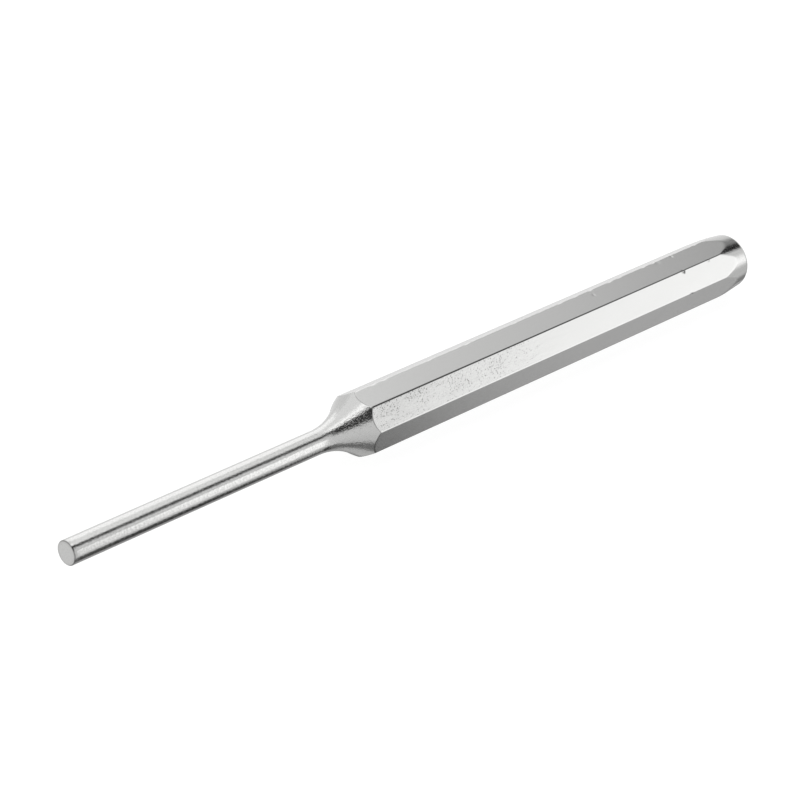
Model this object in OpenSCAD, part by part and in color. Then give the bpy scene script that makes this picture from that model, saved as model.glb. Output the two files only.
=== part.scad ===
// Pin punch with a straight round pin and an octagonal shank.
// It is one bar of tool steel, drawn to an octagon and turned at both ends. The four modules
// are sections of that one bar, and they meet on planes square to its axis.
// Lengths are in millimetres and angles in degrees. The punch lies along X on one facet, with
// the tip of the pin towards -X and the struck face towards +X.

/* [Whole tool] */
// Length from the tip face to the struck face
overall_len = 150; // [130:1:170]

/* [Drive pin] */
// Diameter of the pin
pin_d = 3.9; // [3:0.1:5]
// Straight length of the pin, from the tip face to the start of the hollow
pin_len = 49; // [35:1:60]
// Width of the edge break round the tip face
tip_break = 0.2; // [0.1:0.05:0.4]

/* [Shoulder] */
// Radius of the hollow that sweeps up from the pin
hollow_r = 12.5; // [8:0.5:16]
// Radius of the crown that runs out into the facets
crown_r = 11; // [8:0.5:14]
// Steepest slope, where the hollow turns over into the crown, as rise over run
turnover_slope = 0.75; // [0.65:0.01:0.9]

/* [Shank] */
// Width of the octagon across its flats
across_flats = 10; // [8.5:0.1:12]
// Height taken off each sharp corner of the octagon, where the drawn bar is rounded
corner_break = 0.06; // [0.02:0.01:0.15]

/* [Striking head] */
// Length of the turned taper, from where it leaves the corners to the struck face
taper_len = 6.8; // [5:0.1:10]
// Slope of the taper's side in degrees
taper_angle = 6.3; // [4:0.1:9]
// Radius round the rim of the struck face
rim_r = 1; // [0.4:0.1:1.6]

/* [Hidden] */
$fn = 96;
chrome = [0.74, 0.74, 0.74];

// Cross section of the drawn bar, and how far its corners reach from the axis
sides = 8;
side_turn = 360 / sides;
flat_r = across_flats / 2;
sharp_corner_r = flat_r / cos(side_turn / 2);
corner_r = sharp_corner_r - corner_break;

// Full octagon that each turned section keeps where it meets the shank, as a share of its width
land_share = 0.05;
land = across_flats * land_share;

// One overrun for all cuts
overrun = across_flats;

// Shoulder. The hollow takes at most the climb share of the way from the pin up to the corners,
// and the crown is never so tight that the corners take more than that share of its own climb.
climb_share = 0.8;
turnover_angle = atan(turnover_slope);
arc_climb_share = 1 - cos(turnover_angle);
pin_r = pin_d / 2;
climb = corner_r - pin_r;
hollow_fit_r = min(hollow_r, climb_share * climb / arc_climb_share);
crown_climb = climb - hollow_fit_r * arc_climb_share;
crown_fit_r = max(crown_r, crown_climb / (climb_share * arc_climb_share));
turnover_r = pin_r + hollow_fit_r * arc_climb_share;
turnover_at = hollow_fit_r * sin(turnover_angle);
crown_centre_r = turnover_r - crown_fit_r * cos(turnover_angle);
crown_centre_at = turnover_at + crown_fit_r * sin(turnover_angle);
run_out_angle = acos((corner_r - crown_centre_r) / crown_fit_r);
shoulder_len = crown_centre_at - crown_fit_r * sin(run_out_angle) + land;

// Striking head. The rim's arc is tangent to the taper and to the struck face.
head_len = land + taper_len;
rim_centre_at = head_len - rim_r;
rim_centre_r = corner_r - (rim_centre_at - land) * tan(taper_angle) - rim_r / cos(taper_angle);

// Places along the bar, measured from the tip face
shank_at = pin_len + shoulder_len;
head_at = overall_len - head_len;
shank_len = head_at - shank_at;

// Sets a section that is drawn along Z into the bar, a distance along from the tip face
module along_bar(distance) {
    translate([distance - overall_len / 2, 0, flat_r])
        rotate([0, 90, 0])
            children();
}

// Cross section of the drawn bar: an octagon that lies on one flat, with its corners rounded
module octagon() {
    intersection() {
        rotate(side_turn / 2)
            circle(r = sharp_corner_r, $fn = sides);
        circle(r = corner_r);
    }
}

// Half section of the shoulder, with the axis up: the hollow, then the crown
module shoulder_profile() {
    difference() {
        square([turnover_r, turnover_at]);
        translate([pin_r + hollow_fit_r, 0])
            circle(r = hollow_fit_r);
    }
    intersection() {
        translate([0, turnover_at])
            square([corner_r + overrun, shoulder_len + land - turnover_at]);
        translate([crown_centre_r, crown_centre_at])
            circle(r = crown_fit_r);
    }
}

// Half section of the striking head, with the axis up: the taper, the rim and the struck face
module head_profile() {
    polygon([
        [0, -land],
        [corner_r + 2 * land * tan(taper_angle), -land],
        [rim_centre_r + rim_r * cos(taper_angle), rim_centre_at + rim_r * sin(taper_angle)],
        [rim_centre_r, head_len],
        [0, head_len]
    ]);
    translate([rim_centre_r, rim_centre_at])
        circle(r = rim_r);
}

module pin() {
    color(chrome)
        along_bar(0)
            rotate_extrude()
                polygon([
                    [0, 0],
                    [pin_r - tip_break, 0],
                    [pin_r, tip_break],
                    [pin_r, pin_len],
                    [0, pin_len]
                ]);
}

module shoulder() {
    color(chrome)
        along_bar(pin_len)
            intersection() {
                rotate_extrude()
                    shoulder_profile();
                translate([0, 0, -overrun])
                    linear_extrude(overrun + shoulder_len)
                        octagon();
            }
}

module shank() {
    color(chrome)
        along_bar(shank_at)
            linear_extrude(shank_len)
                octagon();
}

module striking_head() {
    color(chrome)
        along_bar(head_at)
            intersection() {
                rotate_extrude()
                    head_profile();
                linear_extrude(head_len + overrun)
                    octagon();
            }
}

pin();
shoulder();
shank();
striking_head();
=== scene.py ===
# %% [markdown]
# # A chrome-plated pin punch
#
# The real tool is one bar of hard tool steel. It was drawn through a die to an octagon, and
# then a lathe turned both ends: a long straight pin with a flared shoulder at one end, and a
# short taper with a rounded rim at the other, where the hammer lands. Last, it was buffed and
# plated with bright chrome.
#
# Everything here is in metres, in the frame of the CAD model. The bar lies along X on one of
# its flats, with the tip of the pin towards -X and the struck face towards +X.

# %% Load the frame
import math

import bmesh
import bpy
from mathutils import Matrix, Vector, noise


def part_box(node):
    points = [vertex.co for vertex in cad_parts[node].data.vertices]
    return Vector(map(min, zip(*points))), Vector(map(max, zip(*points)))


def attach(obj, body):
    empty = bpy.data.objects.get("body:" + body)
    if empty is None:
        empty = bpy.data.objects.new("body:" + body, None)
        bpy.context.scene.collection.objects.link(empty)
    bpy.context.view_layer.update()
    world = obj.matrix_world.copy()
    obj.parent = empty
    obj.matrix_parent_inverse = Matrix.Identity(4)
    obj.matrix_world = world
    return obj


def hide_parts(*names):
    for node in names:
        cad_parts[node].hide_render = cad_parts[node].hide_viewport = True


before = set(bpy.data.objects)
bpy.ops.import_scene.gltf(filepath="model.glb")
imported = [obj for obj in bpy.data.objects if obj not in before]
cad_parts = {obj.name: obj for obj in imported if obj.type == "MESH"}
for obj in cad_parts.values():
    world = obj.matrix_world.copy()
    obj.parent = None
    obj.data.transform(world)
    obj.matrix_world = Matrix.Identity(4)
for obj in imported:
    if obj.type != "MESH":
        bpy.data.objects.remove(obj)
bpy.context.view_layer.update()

# %% [markdown]
# ## The sizes of the bar
#
# These are the sizes of the CAD model, in millimetres, because a toolmaker thinks in them.
# Places along the bar are measured from the tip face. The CAD model gives its own cut planes,
# where the pin, shoulder, shank and head meet, so they are read from it.

# %% Sizes
MM = 0.001
BAR_LENGTH = 150
FLAT_R = 5.0            # from the axis to a flat, half of the 10 mm across flats
ARRIS_R = 0.3           # rounding of the long edges between the flats
PIN_R = 1.95
PIN_LENGTH = 49
TIP_ROUND = 0.2
HOLLOW_R = 12.5
CROWN_R = 11
TURNOVER_ANGLE = math.atan(0.75)   # steepest slope of the shoulder
TAPER_ANGLE = math.radians(6.3)
TAPER_START = 143.2
RIM_R = 1.0
CORNER_R = 5.352
BLANK_R = 5.6           # clear of the long edges, so here the flats alone give the shape


def along_from_x(x):
    """Millimetres from the tip face for an x in metres."""
    return x / MM + BAR_LENGTH / 2


cuts = [round(along_from_x(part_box(node)[1].x), 3) for node in ("pin", "shoulder", "shank")]
print("The sections meet at", cuts, "mm from the tip")

# %% [markdown]
# ## Marks of use
#
# A punch is carried loose in a drawer, so its long edges have small nicks. They could be
# sculpted by hand, but a short list is easier to check against the real tool: each nick is a
# dent with a place, a radius and a depth. They are pressed into the mesh further down, and the
# outline needs to know them first, because the mesh must be fine enough there to hold them.

# %% Nicks in the long edges
NICKS = [
    # along the bar, direction round the axis in degrees from +Y, radius and depth, mm
    (133.0, 114.0, 0.45, 0.15),
    (139.7, 113.5, 0.35, 0.04),
    (133.3, 158.8, 0.50, 0.08),
    (134.1, 71.0, 0.40, 0.05),
    (130.3, 70.0, 0.90, 0.02),
    (112.9, 81.0, 0.28, 0.05),
]


def nick_depth(along, angle, radius):
    """Depth of the nicks at a point of the surface, mm."""
    depth = 0
    for at, side, size, deep in NICKS:
        aside = radius * math.remainder(angle - math.radians(side), 2 * math.pi)
        away = math.hypot(along - at, aside) / size
        depth += deep * max(0, 1 - away ** 2) ** 2
    return depth


print(len(NICKS), "nicks, the deepest", max(nick[3] for nick in NICKS), "mm")

# %% [markdown]
# ## The turned outline
#
# A lathe makes shapes that are the same all the way round, so half a section says everything.
# The outline runs from the centre of the tip, along the pin, up the hollow, over the crown,
# along the untouched bar, down the taper, round the rim and in to the centre of the struck
# face. Each stretch is a line or an arc with its own spacing: close where the form bends, wide
# where it is straight, and close again beside each nick.

# %% Helpers that space out points
FINE_STEP, SHANK_STEP = 0.1, 0.45  # mm between points beside a nick, and along the shank


def stretch(start, end, spacing):
    """Evenly spaced places from start up to but not including end."""
    count = max(1, round(abs(end - start) / spacing))
    return [start + (end - start) * i / count for i in range(count)]


def arc_points(centre, radius, start, end, spacing):
    """Points on an arc; angles turn from straight out of the axis towards the struck face."""
    return [
        (centre[0] + radius * math.sin(a), centre[1] + radius * math.cos(a))
        for a in stretch(start, end, spacing / radius)
    ]


def shank_places(start, end):
    """Places along the shank, close together near the nicks."""
    places, here = [], start
    while here < end - FINE_STEP:
        places.append(here)
        near = min(abs(here - nick[0]) - nick[2] for nick in NICKS)
        here += FINE_STEP if near < FINE_STEP else SHANK_STEP
    return places


def taper_r(along):
    """Distance of the taper from the axis."""
    return CORNER_R - (along - TAPER_START) * math.tan(TAPER_ANGLE)


print("The taper is", round(taper_r(BAR_LENGTH), 2), "mm from the axis at the struck face")

# %% Centres and ends of the arcs
# In millimetres: the place along the bar, then the distance from the axis
turnover_r = PIN_R + HOLLOW_R * (1 - math.cos(TURNOVER_ANGLE))
turnover_at = PIN_LENGTH + HOLLOW_R * math.sin(TURNOVER_ANGLE)
crown_centre = (
    turnover_at + CROWN_R * math.sin(TURNOVER_ANGLE),
    turnover_r - CROWN_R * math.cos(TURNOVER_ANGLE),
)
crown_end_angle = math.acos((BLANK_R - crown_centre[1]) / CROWN_R)
crown_end = crown_centre[0] - CROWN_R * math.sin(crown_end_angle)
blank_end = TAPER_START - (BLANK_R - CORNER_R) / math.tan(TAPER_ANGLE)
rim_centre_at = BAR_LENGTH - RIM_R
rim_centre_r = taper_r(rim_centre_at) - RIM_R / math.cos(TAPER_ANGLE)
rim_top_at = rim_centre_at + RIM_R * math.sin(TAPER_ANGLE)
print("Shoulder ends at", round(crown_end, 2), "and the taper starts at", round(blank_end, 2))

# %% The outline itself
# Millimetres between the points of each stretch
TIP_FACE_STEP, STRUCK_FACE_STEP, PIN_STEP = 0.35, 0.6, 0.8
TIP_ROUND_STEP, RIM_STEP, CROWN_STEP = 0.05, 0.08, 0.1
HOLLOW_STEP, TAPER_STEP, HEAD_STEP = 0.15, 0.15, 0.12

outline = [(0, r) for r in stretch(0, PIN_R - TIP_ROUND, TIP_FACE_STEP)]
outline += arc_points((TIP_ROUND, PIN_R - TIP_ROUND), TIP_ROUND, -math.pi / 2, 0, TIP_ROUND_STEP)
outline += [(at, PIN_R) for at in stretch(TIP_ROUND, PIN_LENGTH, PIN_STEP)]
outline += [
    (PIN_LENGTH + HOLLOW_R * math.sin(a), PIN_R + HOLLOW_R * (1 - math.cos(a)))
    for a in stretch(0, TURNOVER_ANGLE, HOLLOW_STEP / HOLLOW_R)
]
outline += arc_points(crown_centre, CROWN_R, -TURNOVER_ANGLE, -crown_end_angle, CROWN_STEP)
outline += [(crown_end, BLANK_R), (cuts[1], BLANK_R)]
outline += [(at, BLANK_R) for at in shank_places(cuts[1] + 2 * FINE_STEP, blank_end)]
outline += [(at, taper_r(at)) for at in stretch(blank_end, cuts[2], TAPER_STEP)]
outline += [(at, taper_r(at)) for at in stretch(cuts[2], rim_top_at, HEAD_STEP)]
outline += arc_points((rim_centre_at, rim_centre_r), RIM_R, TAPER_ANGLE, math.pi / 2, RIM_STEP)
outline += [(BAR_LENGTH, r) for r in stretch(rim_centre_r, 0, STRUCK_FACE_STEP)]
outline += [(BAR_LENGTH, 0)]
print(len(outline), "points along the turned outline")

# %% [markdown]
# ## Turning a section
#
# The outline is drawn the way a person draws it in the viewport: one vertex, extruded from
# point to point. Spin then turns it once round the axis and merges the last copy with the
# first, which is exactly what the lathe does. Where an end of the outline lies on the axis,
# its copies fall together, and removing doubles closes the pole.
#
# The whole bar could be spun at once and cut up afterwards. Spinning one section at a time
# gives the same surface, and neighbours still share every vertex of the ring where they meet.

# %% Spin a stretch of the outline
ROUND_STEPS = 256       # 32 for each flat, so that a row of vertices lies on every long edge
SAME_PLACE = 0.001      # mm: closer than this, two places along the bar are one
SAME_POINT = 1e-7       # metres: closer than this, two vertices are one
AXIS = Vector((0, 0, FLAT_R * MM))


def point_on_bar(along, radius):
    """The outline's point, drawn in the plane over the axis."""
    return Vector(((along - BAR_LENGTH / 2) * MM, 0, radius * MM)) + AXIS


def spin_section(start, end):
    """A mesh of the turned bar between two places along it, still open where it was cut."""
    points = [point for point in outline if start - SAME_PLACE < point[0] < end + SAME_PLACE]
    section = bmesh.new()
    pencil = section.verts.new(point_on_bar(*points[0]))
    for point in points[1:]:
        drawn = bmesh.ops.extrude_vert_indiv(section, verts=[pencil])
        pencil = drawn["verts"][0]
        pencil.co = point_on_bar(*point)
    bmesh.ops.spin(
        section, geom=section.verts[:] + section.edges[:], cent=AXIS, axis=(1, 0, 0),
        dvec=(0, 0, 0), angle=2 * math.pi, steps=ROUND_STEPS, use_merge=True, use_duplicate=False,
    )
    bmesh.ops.remove_doubles(section, verts=section.verts, dist=SAME_POINT)
    return section


print("Each ring has", ROUND_STEPS, "vertices")

# %% [markdown]
# ## The flats
#
# Eight flats are pressed into the turned bar: a vertex that stands outside the octagon moves
# straight in to it. Where the turned surface and a flat meet, the smaller of the two distances
# wins, and a smooth minimum rounds the edge between them as buffing does. That edge is the
# scallop at the end of each flat.
#
# A boolean with a prism would give the same shape with long thin faces along the scallops. A
# vertex that slides along its own radius keeps the grid even.
#
# Buffing also rounds the long edges, and never quite evenly. On one of them the wheel stayed
# too long in places, and the rounding there is wider. Smooth noise along the bar gives both.

# %% Distance from the axis to the flats
SIDES = 8
LINE_CROWDING = 0.65    # how far the lines of the mesh draw together at the long edges
SCALLOP_ROUND = 0.05    # height of the rounding where a flat meets a turned surface, mm
ARRIS_WANDER = 0.15     # share by which buffing varied the rounding of the long edges
WANDER_PER_MM = 0.3     # how quickly it varies along the bar
BUFFED_EDGE = 67.5      # degrees from +Y of the one long edge that was buffed too hard
BUFFED_WIDER = 1.2      # how much its rounding may grow there, mm
BUFFED_PER_MM = 0.8     # how quickly that comes and goes along the bar


def octagon_r(angle, arris):
    """Distance from the axis to the octagon with rounded corners, in a direction round it."""
    turn = 2 * math.pi / SIDES
    from_corner = abs((angle % turn) - turn / 2)
    centre = (FLAT_R - arris) / math.cos(turn / 2)
    tangent = turn / 2 - math.atan((FLAT_R - arris) * math.tan(turn / 2) / FLAT_R)
    if from_corner >= tangent:
        return FLAT_R / math.cos(turn / 2 - from_corner)
    across = centre * math.sin(from_corner)
    return centre * math.cos(from_corner) + math.sqrt(arris ** 2 - across ** 2)


def arris_r(along, angle):
    """Rounding of the long edges at a place, mm."""
    place = Vector((along * WANDER_PER_MM, math.cos(angle) * 2, math.sin(angle) * 2))
    rounding = ARRIS_R * (1 + ARRIS_WANDER * noise.noise(place))
    if abs(math.degrees(angle) - BUFFED_EDGE) < 180 / SIDES:
        rounding += BUFFED_WIDER * max(0, noise.noise(Vector((along * BUFFED_PER_MM, 7, 0))))
    return rounding


def smooth_min(a, b, rounding):
    """The smaller of two distances, with the corner between them rounded."""
    return min(a, b) - max(rounding - abs(a - b), 0) ** 2 / (4 * rounding)


corner_r = octagon_r(math.pi / SIDES, ARRIS_R)
print("A flat is", octagon_r(0, ARRIS_R), "mm from the axis, a long edge", round(corner_r, 2), "mm")

# %% [markdown]
# ## Where the plating is pitted, and where dark edge lines are painted
#
# On one flat the plating has gone cloudy. Fine pits lie thick on it beside the shoulder, most
# of all along its upper edge, and end in a ragged line about half way to the head. A texture
# can't know that place, so it is painted on the mesh, as Weight Paint would do it: 1 where the
# pits are thickest, 0 where there are none.
#
# Two more values are painted the same way. One tells the turned surfaces from the flats. The
# other marks dark hairlines, which are painted shade: along the whole long edge over that flat,
# at the ends of the flats at the shoulder, and round the rim of the tip.

# %% How thick the pits lie
PITTED_FLAT = (112.5, 157.5)       # degrees from +Y, between two of the long edges
PITTED_TO = (90, 102)              # mm from the tip: full up to here, gone by there
PITTED_RAGGED = 4                  # mm by which that end wanders
PITTED_LESS = 0.25                 # share by which the pits thin out towards the lower edge
PITTED_MARGIN = 0.02               # share of the flat's width that stays clean at each edge


def share_between(value, full, none):
    """1 at or before full, 0 at or beyond none, and a straight slope between them."""
    return min(1, max(0, (none - value) / (none - full)))


def pitted_share(along, angle):
    """How thick the pits lie at a point of the surface, from 0 to 1."""
    across = (math.degrees(angle) % 360 - PITTED_FLAT[0]) / (PITTED_FLAT[1] - PITTED_FLAT[0])
    if not PITTED_MARGIN < across < 1 - PITTED_MARGIN:
        return 0
    ragged = PITTED_RAGGED * noise.noise(Vector((3, angle * 8, along * 0.1)))
    return share_between(along + ragged, *PITTED_TO) * (1 - PITTED_LESS * across)


for at in (70, 95, 110):
    share = pitted_share(at, math.radians(sum(PITTED_FLAT) / 2))
    print("Pitted at", at, "mm:", round(share, 2))

# %% How dark the painted edge lines are
DARK_LINE_REACH = (0.18, 0.10)          # mm from the middle of a hairline to where it has faded,
DARK_LINE_ENDS = (60, 143)              # at these two places along the bar
DARK_LINE_EDGE = 1.5                    # over 1, so that the middle of a hairline is quite dark
DARK_SCALLOPS_TO = 66              # mm from the tip: only the ends at the shoulder are worn
DARK_SCALLOP, DARK_PATCHES = 0.6, 0.5  # how dark they are, and by how much that varies
DARK_TIP = (0.06, 1.89)            # middle of the tip's rounding: along, and from the axis
TIP_REACH, TIP_DARK = 0.19, 0.65   # mm from there to where the dark line has faded, and how dark


def painted_dark_line_share(along, angle, radius, step):
    """Painted shade on the edges; step is the height of the turned form over the flat, mm."""
    aside = radius * abs(math.remainder(angle - math.radians(PITTED_FLAT[0]), 2 * math.pi))
    reach = DARK_LINE_REACH[1] + (DARK_LINE_REACH[0] - DARK_LINE_REACH[1]) * share_between(along, *DARK_LINE_ENDS)
    fade_height = reach / 3    # across a scallop the dark line fades with height
    painted_dark_line = DARK_LINE_EDGE * share_between(aside, 0, reach) * share_between(step, fade_height, 0)
    if along < DARK_SCALLOPS_TO:
        patchy = DARK_SCALLOP + DARK_PATCHES * noise.noise(Vector((along * 1.5, angle * 6, 0)))
        painted_dark_line = max(painted_dark_line, patchy * share_between(abs(step), 0, fade_height))
    return min(1, painted_dark_line)


print("The hairline is", 2 * DARK_LINE_REACH[0], "mm wide at the shoulder,", 2 * DARK_LINE_REACH[1], "at the head")

# %% Press the flats and paint the values
TURNED_FADE = 0.1                  # mm of height in which one skin passes into the other
PRESSED_R = PIN_R + 1              # mm from the axis: nothing is pressed farther in than this


def press_flats(section):
    """Moves the vertices in to the flats and nicks, and paints the three values."""
    turned = section.verts.layers.float.new("turned")
    pitted = section.verts.layers.float.new("pitted")
    # the third value is painted shade: dark lines on the rounded edges
    painted_dark_line = section.verts.layers.float.new("painted_dark_line")
    for vert in section.verts:
        along = along_from_x(vert.co.x)
        up, side = (vert.co.z - AXIS.z) / MM, vert.co.y / MM
        blank_r = math.hypot(up, side)
        vert[turned] = 1
        if blank_r < PRESSED_R:
            away = math.dist((along, blank_r), DARK_TIP)
            # painted shade round the rim of the tip
            vert[painted_dark_line] = TIP_DARK * share_between(away, 0, TIP_REACH)
            continue
        even = math.atan2(up, side)
        angle = even + LINE_CROWDING / SIDES * math.sin(SIDES * even)
        flat_r = octagon_r(angle, arris_r(along, angle))
        radius = smooth_min(blank_r, flat_r, SCALLOP_ROUND)
        radius -= nick_depth(along, angle, radius)
        vert.co.y = radius * math.cos(angle) * MM
        vert.co.z = radius * math.sin(angle) * MM + AXIS.z
        vert[turned] = min(1, max(0, 0.5 + (flat_r - blank_r) / TURNED_FADE))
        vert[pitted] = pitted_share(along, angle) * (1 - vert[turned])
        # painted shade along the long edge over the pitted flat and at the ends of the flats
        vert[painted_dark_line] = painted_dark_line_share(along, angle, radius, blank_r - flat_r)


# %% [markdown]
# ## Four sections of one bar
#
# The CAD model names four sections, and each piece here stands for one of them. A cap closes
# each open ring. Its edge is marked sharp, so that the cap doesn't bend the shading of the
# surface beside it and no seam shows between neighbours.

# %% Make the sections
SECTIONS = {
    "drive_pin": ("pin", 0, PIN_LENGTH),
    "turned_shoulder": ("shoulder", PIN_LENGTH, cuts[1]),
    "octagon_shank": ("shank", cuts[1], cuts[2]),
    "turned_head": ("striking_head", cuts[2], BAR_LENGTH),
}
pieces = []
for name, (node, start, end) in SECTIONS.items():
    section = spin_section(start, end)
    press_flats(section)
    for face in section.faces:
        face.smooth = True
    rings = [edge for edge in section.edges if edge.is_boundary]
    bmesh.ops.edgeloop_fill(section, edges=rings)
    for edge in rings:
        edge.smooth = False
    bmesh.ops.recalc_face_normals(section, faces=section.faces)
    data = bpy.data.meshes.new(name)
    section.to_mesh(data)
    print(name, len(section.faces), "faces, closed:", all(e.is_manifold for e in section.edges))
    section.free()
    piece = bpy.data.objects.new(name, data)
    bpy.context.scene.collection.objects.link(piece)
    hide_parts(node)
    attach(piece, "root")
    pieces.append(piece)

# %% [markdown]
# ## Helpers for materials
#
# Colours are written as sRGB hex, as in any paint program, and turned to the linear values
# that Cycles works in. One function adds any node with its settings and its links.

# %% Colour and node helpers
def linear(hex_colour):
    """Linear RGBA from an sRGB hex colour."""
    channels = [int(hex_colour[i : i + 2], 16) / 255 for i in (1, 3, 5)]
    return [c / 12.92 if c <= 0.04045 else ((c + 0.055) / 1.055) ** 2.4 for c in channels] + [1]


def add_node(tree, kind, inputs=None, **settings):
    """Adds a node. An input is a value, or an output socket of another node to link from."""
    node = tree.nodes.new("ShaderNode" + kind)
    for name, value in settings.items():
        setattr(node, name, value)
    for socket, value in (inputs or {}).items():
        if isinstance(value, bpy.types.NodeSocket):
            tree.links.new(value, node.inputs[socket])
        else:
            node.inputs[socket].default_value = value
    return node


def new_material(name):
    """An empty material and its node tree."""
    material = bpy.data.materials.new(name)
    material.use_nodes = True
    material.node_tree.nodes.clear()
    return material, material.node_tree


# %% [markdown]
# ## Bright chrome
#
# Chrome plating is so thin that it copies the steel beneath it. The eye therefore reads three
# things in it: the rings that the lathe left on the pin, shoulder and head, the finer satin of
# the drawn and buffed flats, and the pits where the plating has suffered. The colour is the
# same neutral grey metal everywhere, so one material is enough, and the painted values choose
# between its skins.
#
# Each skin is a height in real millimetres, from noise in object space. The heights are summed
# and go to one Bump node, whose distance of a millimetre keeps them true to size.

# %% Places and painted values for the chrome
# The Mapping node gives places in millimetres from the middle of the bar's axis
chrome, tree = new_material("bright_chrome_plate")
metres = add_node(tree, "TexCoord").outputs["Object"]
place = add_node(tree, "Mapping", {
    "Vector": metres, "Location": (0, 0, -FLAT_R), "Scale": (1 / MM, 1 / MM, 1 / MM),
}).outputs["Vector"]
axes = add_node(tree, "SeparateXYZ", {"Vector": place})
across = add_node(tree, "VectorMath", {0: place, 1: (0, 1, 1)}, operation="MULTIPLY")
from_axis = add_node(tree, "VectorMath", {0: across.outputs[0]}, operation="LENGTH")
turned = add_node(tree, "Attribute", attribute_name="turned").outputs["Fac"]
pitted = add_node(tree, "Attribute", attribute_name="pitted").outputs["Fac"]
# painted shade: the dark lines on the rounded edges
painted_dark_line = add_node(tree, "Attribute", attribute_name="painted_dark_line").outputs["Fac"]
layers = pieces[0].data.attributes
print("Each vertex carries", [layer.name for layer in layers if layer.domain == "POINT"])

# %% [markdown]
# ### Skin of the turned surfaces
#
# A lathe tool cuts a fine thread as it travels, and buffing wears it down to uneven rings.
# Noise that knows only the place along the bar and the distance from the axis is the same all
# the way round, so it makes rings on the pin, and circles on the two end faces. The real feed
# is about 0.15 mm. The rings are drawn about twice as coarse, because a finer one would fall
# between the pixels.
#
# A fine grain breaks the rings up, and it is coarser than the real one for the same reason. It
# could be the same in all directions, but the buffing wheel ran along the bar and drew it out a
# little that way. It is low on the pin, full on the hollow and most of the crown, and low again
# on the head.

# %% Rings and grain
RINGS_PER_MM, RING_HEIGHT = 3.0, 0.007
GRAIN_PER_MM, GRAIN_HEIGHT = 3.8, 0.026
PIN_GRAIN, HEAD_GRAIN = 0.45, 0.3  # share of the grain, because both were buffed more
HOLLOW_FADE = 4         # mm of the hollow over which the pin's skin passes into the shoulder's
CROWN_FADE = (-3, 1)    # mm from the shoulder's end: where the grain starts and ends its fall
DRAG = 1.6              # how far the buffing wheel drew the grain out along the bar

ring_place = add_node(tree, "CombineXYZ", {"X": axes.outputs["X"], "Y": from_axis.outputs["Value"]})
rings = add_node(tree, "TexNoise", {
    "Vector": ring_place.outputs[0], "Scale": RINGS_PER_MM, "Detail": 1.0,
}, noise_dimensions="2D")
dragged = add_node(tree, "VectorMath", {0: place, 1: (1 / DRAG, 1, 1)}, operation="MULTIPLY")
grain = add_node(tree, "TexNoise", {
    "Vector": dragged.outputs[0], "Scale": GRAIN_PER_MM, "Detail": 1.0,
})
pin_end, shoulder_end = PIN_LENGTH - BAR_LENGTH / 2, cuts[1] - BAR_LENGTH / 2
from_pin = add_node(tree, "MapRange", {
    "Value": axes.outputs["X"], "From Min": pin_end, "From Max": pin_end + HOLLOW_FADE,
    "To Min": PIN_GRAIN, "To Max": 1.0,
})
grain_share = add_node(tree, "MapRange", {
    "Value": axes.outputs["X"],
    "From Min": shoulder_end + CROWN_FADE[0], "From Max": shoulder_end + CROWN_FADE[1],
    "To Min": from_pin.outputs[0], "To Max": HEAD_GRAIN,
})
grain_size = add_node(tree, "Math", {
    0: grain_share.outputs[0], 1: GRAIN_HEIGHT,
}, operation="MULTIPLY")
grain_height = add_node(tree, "Math", {
    0: grain.outputs["Fac"], 1: grain_size.outputs[0],
}, operation="MULTIPLY")
turned_height = add_node(tree, "Math", {
    0: rings.outputs["Fac"], 1: RING_HEIGHT, 2: grain_height.outputs[0],
}, operation="MULTIPLY_ADD")
print("The grain fades over", CROWN_FADE[1] - CROWN_FADE[0], "mm at the end of the shoulder")

# %% [markdown]
# ### Skin of the flats
#
# The die and the buffing wheel both run along the bar, so the satin is stretched that way: the
# noise changes slowly along X and quickly across it. It is lower than the turned rings, and
# the flats look calmer and smoother.

# %% Satin
SATIN_PER_MM, SATIN_STRETCH, SATIN_HEIGHT = 3.2, 4.0, 0.0035

stretched = add_node(tree, "VectorMath", {
    0: place, 1: (1 / SATIN_STRETCH, 1, 1),
}, operation="MULTIPLY")
satin = add_node(tree, "TexNoise", {
    "Vector": stretched.outputs[0], "Scale": SATIN_PER_MM, "Detail": 2.0,
})
satin_height = add_node(tree, "Math", {
    0: satin.outputs["Fac"], 1: SATIN_HEIGHT,
}, operation="MULTIPLY")
skin_height = add_node(tree, "MapRange", {
    "Value": turned, "To Min": satin_height.outputs[0], "To Max": turned_height.outputs[0],
})
print("Satin marks are", round(SATIN_STRETCH / SATIN_PER_MM, 2), "mm long")

# %% [markdown]
# ### Pits
#
# Where the plating is cloudy, its surface is pebbled and has round dark pits. The pebbles are
# noise with a height that follows the painted value. Noise cut off at a level would give the
# pits too, but with worm-like shapes. They come from a Voronoi texture instead, which scatters
# points and gives the distance to the nearest one, so that everything close to a point is a
# round dot. Each point also has a random colour. Its brightness is added to the distance, so a
# point with a dark colour makes a larger pit, and one with a light colour makes none. The
# painted value and a cloudy noise decide how dark it has to be.
#
# The finest of the real pits are smaller than a pixel. These are drawn just coarse enough to
# show.

# %% Pebbles
PEBBLES_PER_MM, PEBBLE_HEIGHT = 5.4, 0.010

pebbles = add_node(tree, "TexNoise", {"Vector": place, "Scale": PEBBLES_PER_MM, "Detail": 1.0})
pebble_height = add_node(tree, "Math", {
    0: pebbles.outputs["Fac"], 1: pitted,
}, operation="MULTIPLY")
pebbled = add_node(tree, "Math", {
    0: pebble_height.outputs[0], 1: PEBBLE_HEIGHT, 2: skin_height.outputs[0],
}, operation="MULTIPLY_ADD")
print("Pebbles are about", round(1 / PEBBLES_PER_MM, 2), "mm apart")

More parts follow.
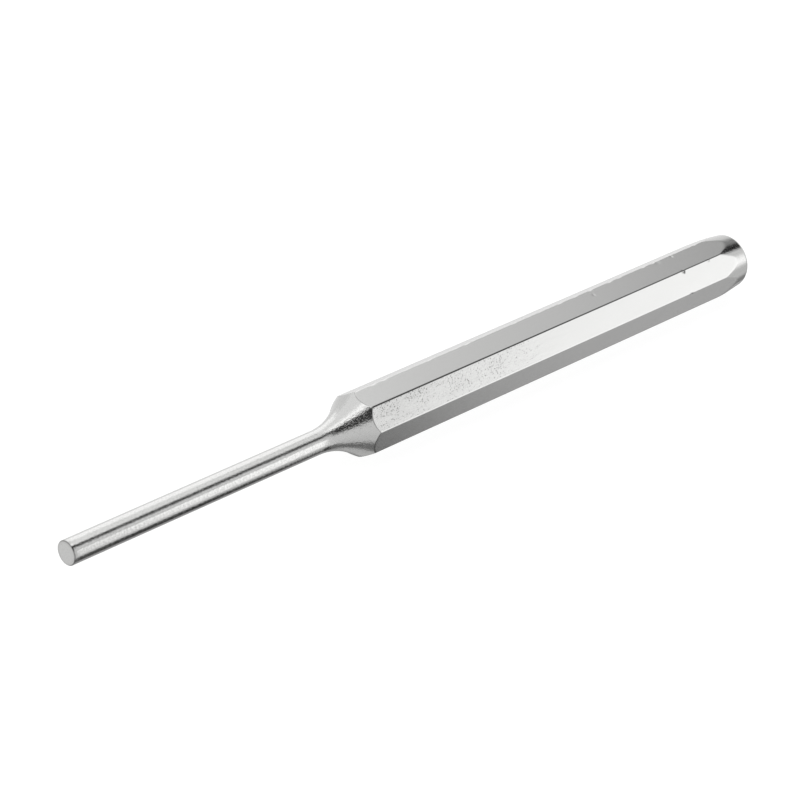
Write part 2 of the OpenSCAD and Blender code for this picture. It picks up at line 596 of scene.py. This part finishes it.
# %% Pits
PITS_PER_MM, PIT_DEPTH = 4.6, 0.006
CLOUDS_PER_MM = 0.8            # the patches where the pits gather
CLOUD_EDGES = (0.4, 0.6)       # the cloudy noise where such a patch begins and where it is full
PIT_LIFT = (-0.30, -0.46)      # how much closer a point counts, beside a patch and in a full one
DOT_EDGES = (0.18, 0.34)       # how close a point is where its pit is full and where it ends

points = add_node(tree, "TexVoronoi", {"Vector": place, "Scale": PITS_PER_MM})
clouds = add_node(tree, "TexNoise", {
    "Vector": stretched.outputs[0], "Scale": CLOUDS_PER_MM, "Detail": 1.0,
})
lift = add_node(tree, "MapRange", {
    "Value": clouds.outputs["Fac"], "From Min": CLOUD_EDGES[0], "From Max": CLOUD_EDGES[1],
    "To Min": PIT_LIFT[0], "To Max": PIT_LIFT[1],
})
from_pit = add_node(tree, "Math", {
    0: points.outputs["Distance"], 1: points.outputs["Color"],
}, operation="ADD")
lifted = add_node(tree, "Math", {
    0: pitted, 1: lift.outputs[0], 2: from_pit.outputs[0],
}, operation="MULTIPLY_ADD")
dots = add_node(tree, "MapRange", {
    "Value": lifted.outputs[0], "From Min": DOT_EDGES[0], "From Max": DOT_EDGES[1],
    "To Min": 1, "To Max": 0,
})
pits = add_node(tree, "Math", {0: dots.outputs[0], 1: pitted}, operation="MULTIPLY")
height = add_node(tree, "Math", {
    0: pits.outputs[0], 1: -PIT_DEPTH, 2: pebbled.outputs[0],
}, operation="MULTIPLY_ADD")
bump = add_node(tree, "Bump", {"Height": height.outputs[0], "Distance": MM, "Strength": 1.0})
print("Pits are about", round(1 / PITS_PER_MM, 2), "mm apart, and", PIT_DEPTH, "mm deep")

# %% [markdown]
# ### Sheen
#
# The flats are a little more satin than the turned ends, and the sheen varies a little over
# both, as it does on anything buffed by hand.
#
# The turned surfaces are also full of fine rough specks. They could be painted light and dark,
# but roughness does it by itself. A rough speck mirrors a wider part of the room than the
# bright metal beside it, so it shows light in a dark band and dark in a bright one. The specks
# are as strong as the grain is at each place.

# %% Roughness
TURNED_ROUGHNESS, FLAT_ROUGHNESS, SHEEN_CHANGE = 0.10, 0.19, 0.04
BUFFING_PER_MM = 0.6           # how quickly the sheen varies
SPECKS_PER_MM = 4.8
SPECK_ROUGHNESS = 0.26         # what a full speck adds, where the grain is full
SPECK_EDGES = (0.45, 0.65)     # the noise where a speck begins and where it is full

buffing = add_node(tree, "TexNoise", {
    "Vector": stretched.outputs[0], "Scale": BUFFING_PER_MM, "Detail": 3.0,
})
specks = add_node(tree, "TexNoise", {
    "Vector": dragged.outputs[0], "Scale": SPECKS_PER_MM, "Detail": 1.0,
})
rough_specks = add_node(tree, "MapRange", {
    "Value": specks.outputs["Fac"], "From Min": SPECK_EDGES[0], "From Max": SPECK_EDGES[1],
    "To Max": SPECK_ROUGHNESS,
})
turned_roughness = add_node(tree, "Math", {
    0: rough_specks.outputs[0], 1: grain_share.outputs[0], 2: TURNED_ROUGHNESS,
}, operation="MULTIPLY_ADD")
base_roughness = add_node(tree, "MapRange", {
    "Value": turned, "To Min": FLAT_ROUGHNESS, "To Max": turned_roughness.outputs[0],
})
roughness = add_node(tree, "Math", {
    0: buffing.outputs["Fac"], 1: SHEEN_CHANGE, 2: base_roughness.outputs[0],
}, operation="MULTIPLY_ADD")
print("Roughness of the turned ends", TURNED_ROUGHNESS, "and of the flats", FLAT_ROUGHNESS)

# %% [markdown]
# ### Dirt and haze
#
# The pin goes into dirty holes, and dirt stays in its specks. The rest of the bar holds little
# of it. On the cloudy flat the plating has a haze between the pits as well. It is strongest
# beside the shoulder and where the pits gather, and has nearly gone where they end.
#
# Pits, dirt and haze are summed to one share, and the colour needs only two greys for them.

# %% Share of dirt and haze
PIN_DIRT, BODY_DIRT = 0.55, 0.1    # how much dirt the specks hold, on the pin and beyond it
PIT_HAZE = 0.19                    # how far the plating between the pits is clouded
HAZE_CLOUDS = (0.35, 0.65)         # the cloudy noise between which the haze varies,
HAZE_CHANGE = (0.7, 1.3)           # from the first of these times PIT_HAZE to the second
HAZE_REACH = (-12, 24)             # mm from the middle of the bar: full, and nearly gone
HAZE_LEFT = 0.02                   # what is left of it there

cloud_haze = add_node(tree, "MapRange", {
    "Value": clouds.outputs["Fac"], "From Min": HAZE_CLOUDS[0], "From Max": HAZE_CLOUDS[1],
    "To Min": HAZE_CHANGE[0] * PIT_HAZE, "To Max": HAZE_CHANGE[1] * PIT_HAZE,
})
haze = add_node(tree, "MapRange", {
    "Value": axes.outputs["X"], "From Min": HAZE_REACH[0], "From Max": HAZE_REACH[1],
    "To Min": cloud_haze.outputs[0], "To Max": HAZE_LEFT,
})
speck_dirt = add_node(tree, "MapRange", {
    "Value": axes.outputs["X"], "From Min": pin_end, "From Max": pin_end + HOLLOW_FADE,
    "To Min": PIN_DIRT, "To Max": BODY_DIRT,
})
turned_dirt = add_node(tree, "Math", {0: speck_dirt.outputs[0], 1: turned}, operation="MULTIPLY")
dirty = add_node(tree, "Math", {
    0: rough_specks.outputs[0], 1: turned_dirt.outputs[0], 2: pits.outputs[0],
}, operation="MULTIPLY_ADD")
hazed = add_node(tree, "Math", {
    0: pitted, 1: haze.outputs[0], 2: dirty.outputs[0],
}, operation="MULTIPLY_ADD")
print("The haze fades over", HAZE_REACH[1] - HAZE_REACH[0], "mm along the flat")

# %% [markdown]
# ### Colour
#
# The metal is neutral grey. The pits are darker, because light is lost in them, and the dark
# edge lines are painted shade, nearly black.

# %% Put the chrome together
pitted_colour = add_node(tree, "Mix", {
    "Factor": hazed.outputs[0], "A": linear("#C1C1C0"), "B": linear("#8A8A89"),
}, data_type="RGBA")
# near black painted shade for the dark edge lines
colour = add_node(tree, "Mix", {
    "Factor": painted_dark_line, "A": pitted_colour.outputs["Result"], "B": linear("#2C2C2B"),
}, data_type="RGBA")
shader = add_node(tree, "BsdfPrincipled", {
    "Base Color": colour.outputs["Result"], "Metallic": 1.0,
    "Roughness": roughness.outputs[0], "Normal": bump.outputs[0],
})
add_node(tree, "OutputMaterial", {"Surface": shader.outputs[0]})
for piece in pieces:
    piece.data.materials.append(chrome)
print("Chrome has", len(tree.nodes), "nodes")

# %% [markdown]
# ## The studio
#
# Chrome has hardly any look of its own: it shows the room. So the room is built as a product
# photographer builds it, from cards round the punch, white ones that glow softly and grey and
# black ones that draw the dark bands. Everything else is white paper, which is the world at a
# strength of 1.
#
# The cards could be spheres or lamps, but a flat card has a straight edge, and that edge is
# what runs so cleanly along the pin. A card is described as the punch sees it: whether it
# hangs on a wall, overhead or under the floor (a table in the list), which way it is turned,
# and how far it reaches on its two axes, in metres for each metre of distance. A card later in
# the list is nearer, and hides those behind it. Its edge fades over the width called soft. Its
# level is its brightness, with white paper at 1. The grey cards under the floor are painted
# shade: the lower flats mirror them in place of the paper and the bar's own shadow on it.

# %% White paper all round
world = bpy.data.worlds.new("white_paper_room")
bpy.context.scene.world = world
world.use_nodes = True
world.node_tree.nodes.clear()
back = add_node(world.node_tree, "Background", {"Color": linear("#FFFFFF"), "Strength": 1.0})
add_node(world.node_tree, "OutputWorld", {"Surface": back.outputs[0]})
print("The world glows with a strength of", back.inputs["Strength"].default_value)

# %% The cards
CARDS = [
    # name, where it hangs, turn in degrees, reach on each axis, soft edge on each axis, level
    # the cards under the floor (table) are painted shade: the lower flats mirror them in place of the
    # paper in the bar's shadow
    ("painted_floor_shade_grey", "table", 0, (-1.5, 3.0), (-2.6, 0.3), (0.4, 0.4), 0.7),
    ("painted_floor_shade_back", "table", 0, (0.3, 1.5), (0.2, 1.05), (0.3, 0.3), 0.25),
    ("painted_floor_shade_middle", "table", 0, (0.45, 0.95), (-0.6, 0.35), (0.3, 0.3), 0.5),
    ("painted_floor_shade_end", "table", 0, (1.55, 3.0), (-0.62, 0.3), (0.3, 0.3), 0.35),
    ("painted_floor_shade_dark", "table", 0, (-1.6, 1.05), (-3.0, -0.5), (0.3, 0.3), 0.22),
    ("side_grey", "wall", -45, (0.4, 0.95), (-1.2, -0.2), (0.2, 0.4), 0.3),
    ("ceiling_black", "ceiling", 0, (-1.8, 0.42), (-1.05, 0.1), (0.4, 0.6), 0.06),
    ("ceiling_end", "ceiling", 23, (0.85, 1.6), (-0.7, -0.32), (0.25, 0.25), 0.02),
    ("ceiling_paper", "ceiling", 0, (0.8, 1.7), (0.3, 1.3), (0.2, 0.3), 0.92),
    ("ceiling_band", "ceiling", -28, (0.3, 1.1), (-0.1, 0.29), (0.3, 0.3), 0.07),
    ("front_paper", "wall", -90, (-2.5, 1.6), (-0.26, 0.87), (0.2, 0.4), 0.95),
    ("front_low", "wall", -90, (-2.5, 0.3), (-0.62, 0.0), (0.3, 0.5), 0.85),
    ("side_paper", "wall", -45, (-0.45, 0.5), (-0.21, 0.6), (0.3, 0.4), 0.92),
    ("side_softbox", "wall", -45, (-0.22, 0.45), (-0.15, 0.55), (0.3, 0.2), 1.83),
    ("side_shade", "wall", -45, (0.12, 0.6), (-0.5, 0.05), (0.2, 0.3), 0.8),
    ("back_softbox", "wall", 52, (-0.22, 0.5), (0.0, 0.98), (0.08, 0.3), 1.65),
    ("painted_floor_shade_streak", "table", 23, (0.36, 0.63), (-2.4, -0.62), (0.2, 0.5), 0.04),
    ("end_grey", "wall", 0, (0.1, 0.6), (0.25, 0.74), (0.36, 0.36), 0.34),
    ("end_black", "wall", 0, (-0.08, 0.24), (0.42, 0.72), (0.2, 0.2), 0.01),
    ("overhead_softbox", "ceiling", 0, (-1.6, 0.9), (-0.015, 2.6), (0.15, 0.3), 1.2),
    ("overhead_right", "ceiling", 0, (0.7, 0.8), (0.5, 2.0), (0.3, 0.3), 1.5),
    ("overhead_edge", "ceiling", 0, (-0.9, 0.5), (-0.02, 0.38), (0.2, 0.2), 1.75),
]
FARTHEST_CARD = 1.96    # metres from the punch to the first card
CARD_STEP = 0.06        # each card after it hangs this much nearer
print(len(CARDS), "cards, the first", FARTHEST_CARD, "m away")

# %% Helpers for the cards
def card_axes(hangs, turn):
    """Out from the punch to the card, and the card's own two axes."""
    a = math.radians(turn)
    ahead, beside = Vector((math.cos(a), math.sin(a), 0)), Vector((-math.sin(a), math.cos(a), 0))
    if hangs == "wall":
        return ahead, beside, Vector((0, 0, 1))
    return Vector((0, 0, 1 if hangs == "ceiling" else -1)), ahead, beside


def card_material(name, half, soft, strength):
    """A glow that fades out to clear towards the card's edges; half and soft in metres."""
    material, tree = new_material(name)
    axes = add_node(tree, "SeparateXYZ", {0: add_node(tree, "TexCoord").outputs["Object"]})
    shown = 1.0
    for axis in (0, 1):
        away = add_node(tree, "Math", {0: axes.outputs[axis]}, operation="ABSOLUTE")
        fade = add_node(tree, "MapRange", {
            "Value": away.outputs[0], "To Min": 1.0, "To Max": 0.0,
            "From Min": half[axis] - soft[axis] / 2, "From Max": half[axis] + soft[axis] / 2,
        }, interpolation_type="SMOOTHSTEP")
        both = add_node(tree, "Math", {0: fade.outputs[0], 1: shown}, operation="MULTIPLY")
        shown = both.outputs[0]
    clear = add_node(tree, "BsdfTransparent")
    glow = add_node(tree, "Emission", {"Color": linear("#FFFFFF"), "Strength": strength})
    mix = add_node(tree, "MixShader", {0: shown, 1: clear.outputs[0], 2: glow.outputs[0]})
    add_node(tree, "OutputMaterial", {"Surface": mix.outputs[0]})
    return material


# %% Hang the cards
for i, (name, hangs, turn, reach_a, reach_b, soft, level) in enumerate(CARDS):
    distance = FARTHEST_CARD - CARD_STEP * i
    out, axis_a, axis_b = card_axes(hangs, turn)
    middle = out + axis_a * sum(reach_a) / 2 + axis_b * sum(reach_b) / 2
    half = [(reach[1] - reach[0]) / 2 * distance for reach in (reach_a, reach_b)]
    soft = [width * distance for width in soft]
    mesh = bmesh.new()
    bmesh.ops.create_grid(mesh, x_segments=1, y_segments=1, size=1.0)
    bmesh.ops.scale(
        mesh, vec=(half[0] + soft[0] / 2, half[1] + soft[1] / 2, 1), verts=mesh.verts,
    )
    data = bpy.data.meshes.new(name)
    mesh.to_mesh(data)
    mesh.free()
    data.materials.append(card_material(name, half, soft, level))
    card = bpy.data.objects.new(name, data)
    turned_to = Matrix((axis_a, axis_b, axis_a.cross(axis_b))).transposed().to_4x4()
    card.matrix_world = Matrix.Translation(AXIS + middle * distance) @ turned_to
    card.visible_camera = False
    bpy.context.scene.collection.objects.link(card)
print("Hung", len(CARDS), "cards, the nearest", round(distance, 2), "m away")

# %% [markdown]
# ## The floor
#
# The punch lies on a sheet of matt white paper, and the picture wants that paper pure white.
# More light would do it, but would burn out the metal too. Instead the paper glows for the
# camera alone, just so much that with the light that falls on it it reaches white. Under and
# beside the bar less light falls on it, and a faint soft shadow stays.
#
# The cards under the paper are seen by the metal, not by the camera, so the paper lets
# reflections and their light through. Their grey is painted shade, mirrored in the lower flats
# in place of the paper and the bar's shadow on it.

# %% White paper floor
PAPER_GLOW = 0.9
PAPER_HALF = 3.0        # metres from the middle of the sheet to its sides
PAPER_GAP = 0.0001      # metres from the sheet up to the bar, so that no faces fall together

floor_mesh = bmesh.new()
bmesh.ops.create_grid(floor_mesh, x_segments=1, y_segments=1, size=PAPER_HALF)
data = bpy.data.meshes.new("paper_floor")
floor_mesh.to_mesh(data)
floor_mesh.free()
floor = bpy.data.objects.new("paper_floor", data)
floor.location.z = -PAPER_GAP
# the metal sees the painted shade of the cards under the paper instead of the paper
floor.visible_glossy = False
floor.visible_shadow = False
bpy.context.scene.collection.objects.link(floor)

paper, tree = new_material("matt_white_paper")
paths = add_node(tree, "LightPath")
strength = add_node(tree, "Math", {
    0: paths.outputs["Is Camera Ray"], 1: PAPER_GLOW,
}, operation="MULTIPLY")
matt = add_node(tree, "BsdfDiffuse", {"Color": linear("#808080")})
glow = add_node(tree, "Emission", {"Color": linear("#FFFFFF"), "Strength": strength.outputs[0]})
both = add_node(tree, "AddShader", {0: matt.outputs[0], 1: glow.outputs[0]})
add_node(tree, "OutputMaterial", {"Surface": both.outputs[0]})
floor.data.materials.append(paper)
print("The paper is", 2 * PAPER_HALF, "m wide")

# %% [markdown]
# ## The camera
#
# The camera looks down along the bar from the tip's side. Its direction is an azimuth and an
# elevation, as on a map, then a roll about the line of sight. The aim is a small slide of the
# camera in its own picture plane. The lens is given by its focal length in pixels of the
# picture, which is how it was found, and 36 mm of sensor turns that into millimetres.

# %% Camera
VIEW_AZIMUTH, VIEW_ELEVATION, VIEW_ROLL = map(math.radians, (-54.25, 36.93, 16.01))
CAMERA_DISTANCE = 0.45745                   # metres
AIM_RIGHT, AIM_UP = -0.005116, -0.001442    # metres
FOCAL_PIXELS, PICTURE_PIXELS = 2899.2, 800
SENSOR_WIDTH = 36                           # millimetres
NEAREST, FARTHEST = 0.01, 20                # metres between which the camera sees

back = Vector((
    math.sin(VIEW_AZIMUTH) * math.cos(VIEW_ELEVATION),
    -math.cos(VIEW_AZIMUTH) * math.cos(VIEW_ELEVATION),
    math.sin(VIEW_ELEVATION),
))
right = Vector((0, 0, 1)).cross(back).normalized()
up = back.cross(right)
right, up = (
    right * math.cos(VIEW_ROLL) + up * math.sin(VIEW_ROLL),
    up * math.cos(VIEW_ROLL) - right * math.sin(VIEW_ROLL),
)
lens = bpy.data.cameras.new("camera")
lens.sensor_width = SENSOR_WIDTH
lens.lens = lens.sensor_width * FOCAL_PIXELS / PICTURE_PIXELS
lens.clip_start, lens.clip_end = NEAREST, FARTHEST
camera = bpy.data.objects.new("camera", lens)
camera.matrix_world = Matrix.Translation(
    AXIS + right * AIM_RIGHT + up * AIM_UP + back * CAMERA_DISTANCE
) @ Matrix((right, up, back)).transposed().to_4x4()
bpy.context.scene.collection.objects.link(camera)
bpy.context.scene.camera = camera
bpy.context.scene.view_settings.view_transform = "Standard"
print("Lens", round(lens.lens, 1), "mm")
